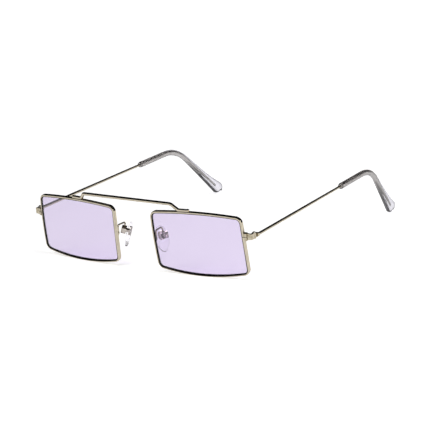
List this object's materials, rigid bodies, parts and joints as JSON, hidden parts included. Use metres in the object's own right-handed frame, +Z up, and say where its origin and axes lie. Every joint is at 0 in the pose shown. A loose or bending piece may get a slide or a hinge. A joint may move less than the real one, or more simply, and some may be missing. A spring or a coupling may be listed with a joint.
{
  "type": "sunglasses",
  "caption": "Narrow rectangular wire sunglasses with tinted lenses, a straight brow bar, adjustable nose pads and thin folding temples with clear curved tips.",
  "frame": {"origin": "on the surface that the open glasses stand on, under the middle of their bounding box", "axes": "+Z up from the surface, +Y from the lenses back to the temple tips, +X towards the wearer's left"},
  "size_m": [0.1256, 0.1532, 0.0353],
  "materials": {
    "frame_wire": "polished pale champagne plating",
    "lens_tint": "clear lilac tint, polished",
    "clear_acetate": "clear, polished",
    "clear_silicone": "clear, glossy",
    "pad_metal": "stamped and plated",
    "screw_steel": "turned steel"
  },
  "bodies": {
    "front": {"brow_bar": "frame_wire", "left_rim": "frame_wire", "left_lens": "lens_tint", "left_block_upper": "frame_wire", "left_block_lower": "frame_wire", "left_block_screw": "screw_steel", "left_end_plate": "frame_wire", "left_hinge_front_leaf": "frame_wire", "left_hinge_screw": "screw_steel", "left_pad_arm": "frame_wire", "left_pad_box": "pad_metal", "left_pad_screw": "screw_steel", "right_rim": "frame_wire", "right_lens": "lens_tint", "right_block_upper": "frame_wire", "right_block_lower": "frame_wire", "right_block_screw": "screw_steel", "right_end_plate": "frame_wire", "right_hinge_front_leaf": "frame_wire", "right_hinge_screw": "screw_steel", "right_pad_arm": "frame_wire", "right_pad_box": "pad_metal", "right_pad_screw": "screw_steel"},
    "left_temple_unit": {"left_hinge_temple_leaf": "frame_wire", "left_temple": "frame_wire", "left_temple_tip": "clear_acetate"},
    "left_pad_unit": {"left_nose_pad": "clear_silicone", "left_pad_insert": "pad_metal"},
    "right_temple_unit": {"right_hinge_temple_leaf": "frame_wire", "right_temple": "frame_wire", "right_temple_tip": "clear_acetate"},
    "right_pad_unit": {"right_nose_pad": "clear_silicone", "right_pad_insert": "pad_metal"}
  },
  "joints": [
    {"name": "left_temple_fold", "type": "hinge", "parent": "front", "child": "left_temple_unit", "pos_m": [0.06135, -0.06609, 0.0215], "axis": [0, -0.0658, 0.9978], "range_deg": [0, 86]},
    {"name": "right_temple_fold", "type": "hinge", "parent": "front", "child": "right_temple_unit", "pos_m": [-0.06135, -0.06609, 0.0215], "axis": [0, 0.0658, -0.9978], "range_deg": [0, 66]},
    {"name": "left_pad_rock", "type": "hinge", "parent": "front", "child": "left_pad_unit", "pos_m": [0.01139, -0.06626, 0.01662], "axis": [-0.4695, -0.881, -0.0581], "range_deg": [-8, 8]},
    {"name": "right_pad_rock", "type": "hinge", "parent": "front", "child": "right_pad_unit", "pos_m": [-0.01139, -0.06626, 0.01662], "axis": [-0.4695, 0.881, 0.0581], "range_deg": [-8, 8]}
  ]
}
